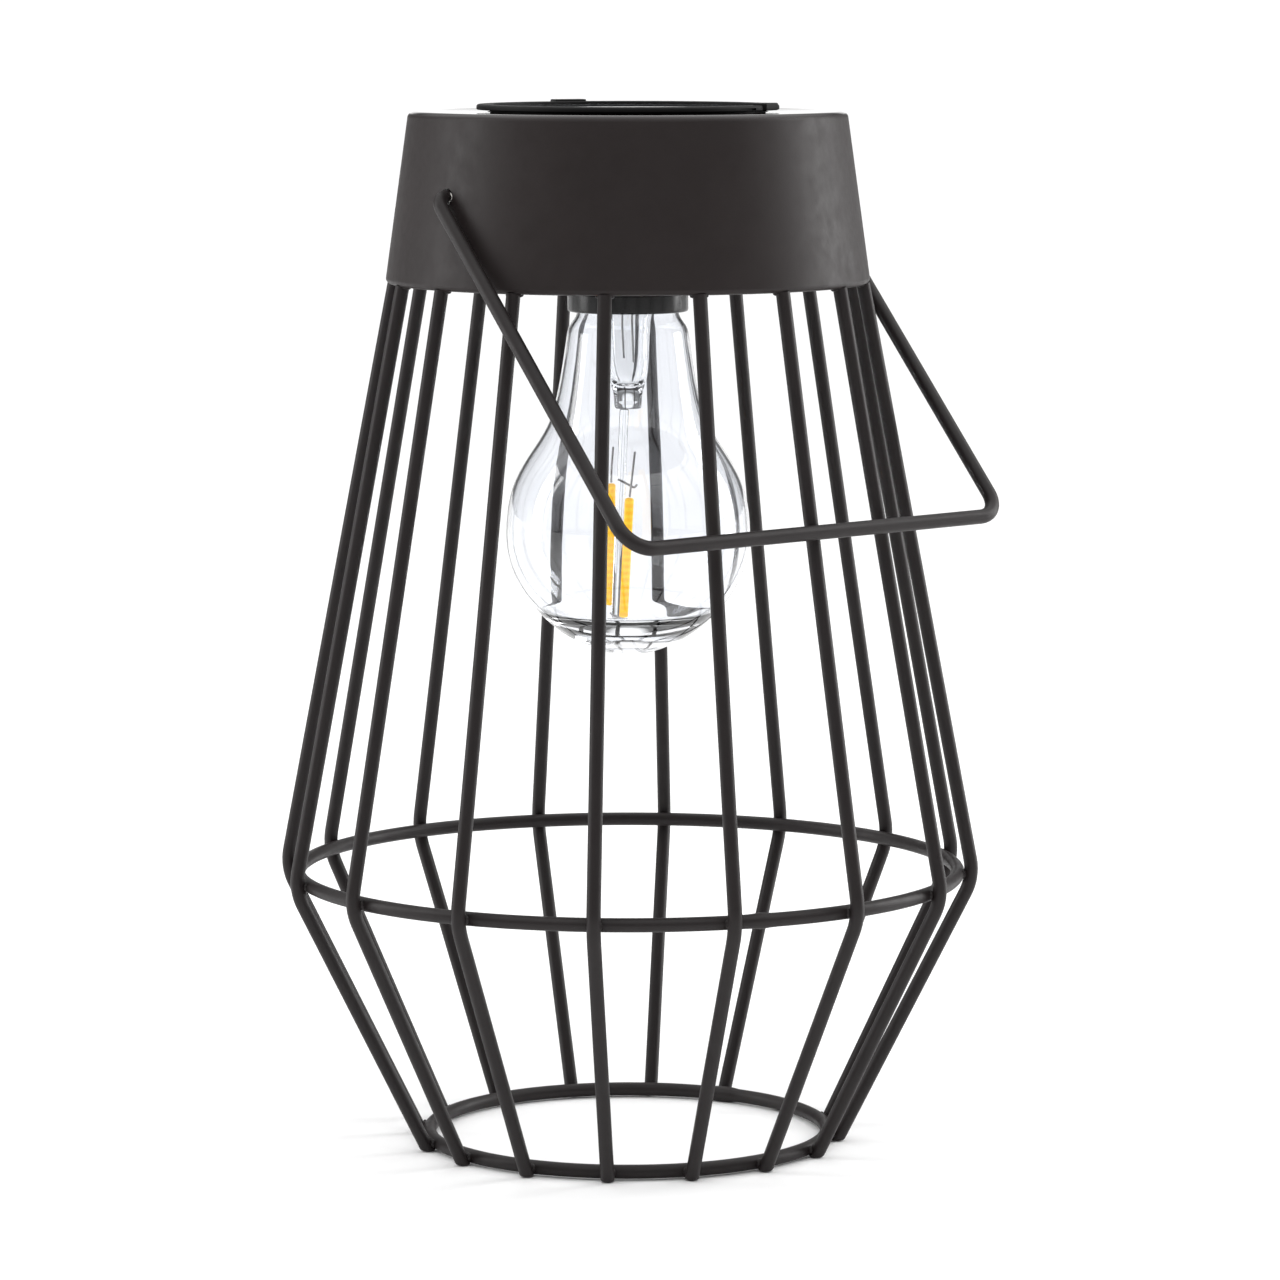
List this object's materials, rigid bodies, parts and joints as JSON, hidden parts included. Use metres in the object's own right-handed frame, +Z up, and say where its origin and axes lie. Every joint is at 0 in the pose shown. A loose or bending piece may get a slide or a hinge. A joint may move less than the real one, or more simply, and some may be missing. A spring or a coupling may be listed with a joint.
{
  "type": "solar lantern",
  "caption": "Solar lantern: conical black steel cap on a bellied wire cage, with a wire bail handle and a lift-out solar module carrying a clear filament bulb.",
  "frame": {"origin": "cage axis at floor level, in the plane of the wire feet", "axes": "+Z up along the cage axis, -Y the front, +X to the right seen from the front"},
  "size_m": [0.1753, 0.1784, 0.2551],
  "materials": {
    "black_paint": "satin powder coat, fine grain",
    "black_plastic": "satin moulded",
    "gloss_black": "glossy moulded",
    "board_black": "solder resist",
    "solar_cell": "dark silicon under clear resin",
    "clear_cover": "clear cast resin",
    "bright_steel": "nickel plated",
    "battery_sleeve": "printed-free shrink sleeve",
    "circuit_green": "solder resist",
    "component_black": "moulded component",
    "clear_glass": "clear blown glass",
    "filament_yellow": "phosphor-filled silicone"
  },
  "bodies": {
    "frame": {"cap_shell": "black_paint", "cage_wire_01": "black_paint", "cage_wire_02": "black_paint", "cage_wire_03": "black_paint", "cage_wire_04": "black_paint", "cage_wire_05": "black_paint", "cage_wire_06": "black_paint", "cage_wire_07": "black_paint", "cage_wire_08": "black_paint", "cage_wire_09": "black_paint", "cage_wire_10": "black_paint", "cage_wire_11": "black_paint", "cage_wire_12": "black_paint", "cage_wire_13": "black_paint", "cage_wire_14": "black_paint", "cage_wire_15": "black_paint", "cage_wire_16": "black_paint", "mid_hoop": "black_paint", "base_hoop": "black_paint"},
    "bail": {"bail_handle": "black_paint"},
    "light_unit": {"solar_bezel": "black_plastic", "solar_board": "board_black", "solar_cell_1": "solar_cell", "solar_cell_2": "solar_cell", "solar_cell_3": "solar_cell", "solar_cell_4": "solar_cell", "solar_cover": "clear_cover", "housing_cup": "black_plastic", "housing_screw_1": "bright_steel", "housing_screw_2": "bright_steel", "housing_screw_3": "bright_steel", "battery_cell": "battery_sleeve", "battery_contact": "bright_steel", "battery_spring": "bright_steel", "circuit_board": "circuit_green", "circuit_chip": "component_black", "circuit_coil": "component_black", "board_post": "black_plastic", "switch_body": "black_plastic", "lamp_collar": "gloss_black", "bulb_glass": "clear_glass", "glass_stem": "clear_glass", "glass_rod": "clear_glass", "rod_foot": "clear_glass", "led_filament_1": "filament_yellow", "led_filament_2": "filament_yellow", "lead_wire_1": "bright_steel", "lead_wire_2": "bright_steel"},
    "switch": {"switch_slider": "gloss_black"}
  },
  "joints": [
    {"name": "bail_swing", "type": "hinge", "parent": "frame", "child": "bail", "pos_m": [0, 0, 0.2334], "axis": [-0.766, -0.6428, 0], "range_deg": [0, 274.2]},
    {"name": "unit_lift", "type": "slide", "parent": "frame", "child": "light_unit", "axis": [0, 0, 1], "range_m": [0, 0.14]},
    {"name": "switch_slide", "type": "slide", "parent": "light_unit", "child": "switch", "axis": [1, 0, 0], "range_m": [0, 0.003]}
  ]
}
